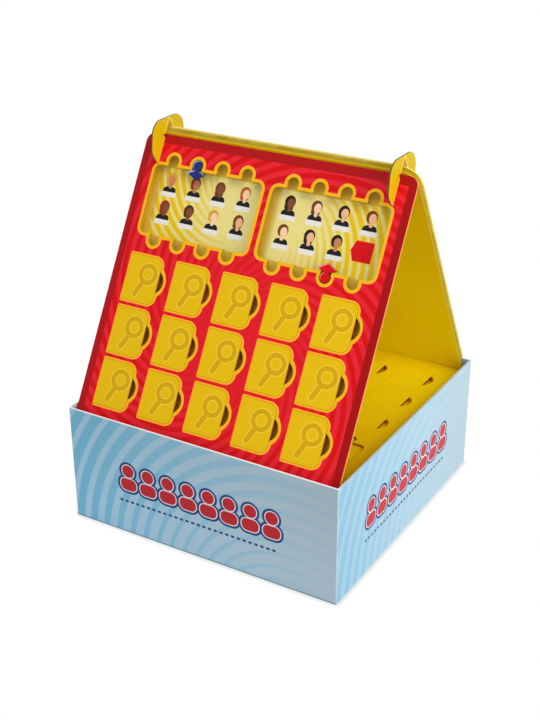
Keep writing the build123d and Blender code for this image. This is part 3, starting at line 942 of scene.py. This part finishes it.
def marker_print(name, node, flip, colour, rim, shade):
    """Flat ink with a pale rim on its upper left, painted shade in the gap round it where it sits in its
    notch, and painted shade on its cut sides.
    """
    material, tree = new_material(name)
    point = sheet_point(tree, -front_lean, front_foot)
    knob = (centre(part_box(node)).x * PER_MM, WINDOW_ROW + flip * NOTCH_ROW)
    local = shifted(tree, point, knob, (1, flip))
    aside = (knob[0] + MARKER_RIM_SHIFT[0], knob[1] + MARKER_RIM_SHIFT[1])
    moved = shifted(tree, point, aside, (1, flip))
    face = ink(tree, within(tree, marker_distance(tree, moved), -MARKER_RIM, soft=0.15), colour, rim)
    height = add(tree, "SeparateXYZ", {0: local}).outputs["Y"]
    seated = scalar_math(tree, "GREATER_THAN", height, -MARKER_SHOULDER)
    # painted shade in the gap round the seated knob and neck
    gap_shade = within(tree, marker_distance(tree, local), -MARKER_GAP_SHADE, soft=0.15)
    gap_shade = scalar_math(tree, "SUBTRACT", 1.0, gap_shade)
    gap_shade = scalar_math(tree, "MULTIPLY", gap_shade, seated)
    face = ink(tree, gap_shade, shade, face)
    # painted shade on the cut sides
    finish(tree, ink(tree, facing(tree, front_normal, limit=0.6), face, shade), roughness=0.32)
    return material


# ------------------------------------------------------------------ dressing the pieces
# widths of rounded edges, and how near corners are merged, in millimetres
CARTON_EDGE = 0.7
BOARD_EDGE = 0.2
WELD_REACH = 0.001


def dress(node, material):
    """Gives one piece its material."""
    slots = nodes[node].data.materials
    slots.clear()
    slots.append(material)


def soften(node, width):
    """Merges a piece's mesh and rounds its sharp edges by a width in millimetres."""
    weld = nodes[node].modifiers.new("weld", "WELD")
    weld.merge_threshold = WELD_REACH * MM
    bevel = nodes[node].modifiers.new("edge", "BEVEL")
    bevel.width = width * MM
    bevel.segments = 2
    bevel.limit_method = "ANGLE"
    bevel.angle_limit = radians(35)


front_print = door_board_print("offset_print_front", -front_lean, front_foot, front_normal)
floor_print = door_board_print("offset_print_floor", pi, crease, Vector((0, 0, -1)))
yellow = yellow_laminate("yellow_satin_laminate", LAMINATE, LAMINATE_LIGHT)
clip_yellow = clip_board("yellow_greyboard")

for name in nodes:
    if name.startswith("front_door") or name == "front_board":
        dress(name, front_print)
    elif name.startswith("floor_door") or name == "floor_board":
        dress(name, floor_print)
    elif name.startswith("clip"):
        dress(name, clip_yellow)
    else:
        dress(name, yellow)
dress("carton_tray", carton_wrap("carton_wrap_paper"))
dress("character_card", card_print("coated_card"))
back_wrap = folded_back("folded_yellow_wrap")
dress("back_tray", back_wrap)
dress("back_board", back_wrap)
blue_inks = (INK_MARKER_BLUE, MARKER_BLUE_RIM, MARKER_BLUE_GAP_SHADE)
red_inks = (INK_MARKER_RED, MARKER_RED_RIM, MARKER_RED_GAP_SHADE)
dress("arrow_blue", marker_print("blue_marker_print", "arrow_blue", 1, *blue_inks))
dress("arrow_red", marker_print("red_marker_print", "arrow_red", -1, *red_inks))
soften("carton_tray", CARTON_EDGE)
for name in ("clip_left", "clip_right", "arrow_blue", "arrow_red"):
    soften(name, BOARD_EDGE)


# ------------------------------------------------------------------ thin pieces: laminate burrs the cutting die leaves, and sheets of painted shade in the clips' slots
def carried(sections, sides):
    """Faces of a closed profile of some sides, carried along some sections, with both ends capped."""
    ring = np.arange(sides)
    after = (ring + 1) % sides
    start = sides * np.arange(sections - 1)[:, None]
    quads = np.stack([start + ring, start + sides + ring, start + sides + after, start + after], axis=-1)
    last = sides * (sections - 1)
    return [*quads.reshape(-1, 4).tolist(), ring.tolist(), (last + ring[::-1]).tolist()]


def new_piece(name, corners, faces, material, body):
    """Mesh object from corners and faces, which rides on a body."""
    mesh = bpy.data.meshes.new(name)
    mesh.from_pydata(corners.reshape(-1, 3).tolist(), [], faces)
    mesh.materials.append(material)
    piece = bpy.data.objects.new(name, mesh)
    bpy.context.scene.collection.objects.link(piece)
    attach(piece, body)


def lip_path(width, height):
    """Right-hand outline of a door from its upper crease end to its finger hole: straight, arc, straight."""
    turn = np.linspace(pi / 2, 0, LIP_CORNER_STEPS + 1)
    outward = np.column_stack([np.cos(turn), np.sin(turn)])
    corner = np.array((width / 2 - DOOR_CORNER, height / 2 - DOOR_CORNER)) + outward * DOOR_CORNER
    places = np.vstack([(LIP_START - width / 2, height / 2), corner, (width / 2, FINGER_HOLE_HALF)])
    return places, np.vstack([(0, 1), outward, (1, 0)])


def film_lip(node, up, out, material):
    """Laminate burr round a door: corner = middle + x X + y up + depth out, with (x, y) off the outline."""
    low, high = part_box(node)
    size = high - low
    axis = 2 if abs(up.z) > 0.5 else 1
    height = (size[axis] * PER_MM - thickness * abs(out[axis])) / abs(up[axis])
    places, outward = lip_path(size.x * PER_MM, height)
    side, depth = np.array(LIP_SECTION).T
    flat = places[:, None] + outward[:, None] * side[:, None]
    upper = flat[..., :1] * (1, 0, 0) + flat[..., 1:] * np.array(up)
    lower = (flat[..., :1] * (1, 0, 0) - flat[..., 1:] * np.array(up))[::-1]
    standing = (thickness / 2 - depth)[:, None] * np.array(out)
    corners = np.array((low + high) / 2) + (np.concatenate([upper, lower]) + standing) * MM
    half = carried(len(places), len(side))
    other = [[corner + len(places) * len(side) for corner in face] for face in half]
    new_piece("film_lip_" + node, corners, half + other, material, node)


def meeting(first, along, second, across):
    """Where two lines in the side view meet, from a point and a direction of each."""
    step = second - first
    share = (step.y * across.z - step.z * across.y) / (along.y * across.z - along.z * across.y)
    return first + along * share


def slot_shade_sheet(node, material):
    """Ochre sheet of painted shade in the top of a clip's slot: the triangle between slot and ridge, carried
    along X.
    """
    front_side = front_foot + front_normal * SHADE_SHEET_REACH * MM
    back_side = back_outer_foot + back_out * SHADE_SHEET_REACH * MM
    ridge = meeting(back_outer_foot, back_rise, Vector((0, 0, back_tray_high.z)), Vector((0, 1, 0)))
    ridge = ridge + back_rise * SHADE_SHEET_CLEARANCE * MM
    triangle = np.array((
        meeting(front_side, slope, back_side, back_rise),
        meeting(back_side, back_rise, ridge, back_out),
        meeting(front_side, slope, ridge, back_out),
    ))
    across = centre(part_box(node)).x + np.array((-0.5, 0.5)) * SHADE_SHEET_THICKNESS * MM
    corners = triangle + across[:, None, None] * np.array((1, 0, 0))
    new_piece("slot_shade_sheet_" + node, corners, carried(2, 3), material, node)


cut_line = yellow_laminate("bruised_cut_line", CUT_LINE, CUT_LINE_LIGHT)
# ochre for the sheets of painted shade in the clips' slots
ochre = yellow_laminate("ochre_slot_shade", SLOT_SHADE_OCHRE, OCHRE_LIGHT)
for name in nodes:
    if name.startswith("front_door"):
        film_lip(name, slope, front_normal, cut_line)
    if name.startswith("floor_door"):
        film_lip(name, Vector((0, 1, 0)), Vector((0, 0, 1)), floor_print)
    if name.startswith("clip"):
        slot_shade_sheet(name, ochre)


# ------------------------------------------------------------------ studio, in metres and watts
SWEEP_HALF = 3.0
SWEEP_PAPER = "#DEDEDE"
SWEEP_SHADE = "#CBD8DC"
CONTACT_REACH = 0.006
CONTACT_SPAN = (0.45, 0.92)
WORLD_STRENGTH = 0.52
KEY_PLACE = (1.6, -0.35, 0.9)
KEY_AIM = (0, 0, 0.12)
KEY_SIZE = (1.1, 1.1)
KEY_POWER = 23
KEY_COLOUR = "#FFFAF2"
OVERHEAD_PLACE = (0.2, -0.4, 1.9)
OVERHEAD_AIM = (0, 0, 0.1)
OVERHEAD_SIZE = (1.3, 1.3)
OVERHEAD_POWER = 15.5
CAMERA_PLACE = (0.48508, -0.82417, 0.59779)
CAMERA_AZIMUTH = radians(30.839)
CAMERA_ELEVATION = radians(26.322)
CAMERA_ROLL = radians(-0.252)
CAMERA_LENS = 63.45
CAMERA_SENSOR = 36


def studio_floor():
    """Seamless white sweep: the camera sees it lit flat, with a narrow shade where the box stands."""
    mesh = bpy.data.meshes.new("sweep")
    corners = SWEEP_HALF * np.array([(-1, -1, 0), (1, -1, 0), (1, 1, 0), (-1, 1, 0)])
    mesh.from_pydata(corners.tolist(), [], [(0, 1, 2, 3)])
    sweep = bpy.data.objects.new("sweep", mesh)
    bpy.context.scene.collection.objects.link(sweep)
    material, tree = new_material("white_sweep_paper")
    open_sky = add(tree, "AmbientOcclusion", {"Distance": CONTACT_REACH})
    shade = ramped(tree, open_sky.outputs["AO"], CONTACT_SPAN)
    seen = add(tree, "Emission", {"Color": ink(tree, shade, "#FFFFFF", SWEEP_SHADE), "Strength": 1.0})
    paper = add(tree, "BsdfDiffuse", {"Color": SWEEP_PAPER})
    path = add(tree, "LightPath")
    mix = add(tree, "MixShader", {0: path.outputs["Is Camera Ray"], 1: paper, 2: seen})
    add(tree, "OutputMaterial", {"Surface": mix})
    mesh.materials.append(material)


def studio_world(strength):
    """Even white surroundings, plain white to the camera."""
    world = bpy.data.worlds.new("studio")
    world.use_nodes = True
    bpy.context.scene.world = world
    tree = world.node_tree
    tree.nodes.clear()
    path = add(tree, "LightPath")
    glow = add(tree, "Background", {"Color": "#FFFFFF", "Strength": strength})
    white = add(tree, "Background", {"Color": "#FFFFFF", "Strength": 1.0})
    mix = add(tree, "MixShader", {0: path.outputs["Is Camera Ray"], 1: glow, 2: white})
    add(tree, "OutputWorld", {"Surface": mix})


def softbox(name, place, aim, size, power, colour):
    """Rectangular area lamp that looks at a point."""
    lamp = bpy.data.lights.new(name, "AREA")
    lamp.color = linear(colour)[:3]
    lamp.shape = "RECTANGLE"
    lamp.size = size[0]
    lamp.size_y = size[1]
    lamp.energy = power
    holder = bpy.data.objects.new(name, lamp)
    bpy.context.scene.collection.objects.link(holder)
    holder.location = place
    holder.rotation_euler = (Vector(aim) - Vector(place)).to_track_quat("-Z", "Y").to_euler()


def photograph_camera():
    """Camera from the photograph's own perspective: azimuth, elevation and a slight roll."""
    level = cos(CAMERA_ELEVATION)
    right = Vector((cos(CAMERA_AZIMUTH), sin(CAMERA_AZIMUTH), 0))
    back = Vector((sin(CAMERA_AZIMUTH) * level, -cos(CAMERA_AZIMUTH) * level, sin(CAMERA_ELEVATION)))
    up = back.cross(right)
    rolled_right = cos(CAMERA_ROLL) * right + sin(CAMERA_ROLL) * up
    rolled_up = cos(CAMERA_ROLL) * up - sin(CAMERA_ROLL) * right
    turn = Matrix((rolled_right, rolled_up, back)).transposed()
    data = bpy.data.cameras.new("photograph_camera")
    data.lens = CAMERA_LENS
    data.sensor_width = CAMERA_SENSOR
    data.clip_start = 0.01
    camera = bpy.data.objects.new("photograph_camera", data)
    bpy.context.scene.collection.objects.link(camera)
    camera.matrix_world = Matrix.Translation(CAMERA_PLACE) @ turn.to_4x4()
    bpy.context.scene.camera = camera


photograph_camera()
studio_floor()
studio_world(WORLD_STRENGTH)
softbox("key_right", KEY_PLACE, KEY_AIM, KEY_SIZE, KEY_POWER, KEY_COLOUR)
softbox("overhead", OVERHEAD_PLACE, OVERHEAD_AIM, OVERHEAD_SIZE, OVERHEAD_POWER, "#FFFFFF")

bpy.context.scene.view_settings.view_transform = "Standard"
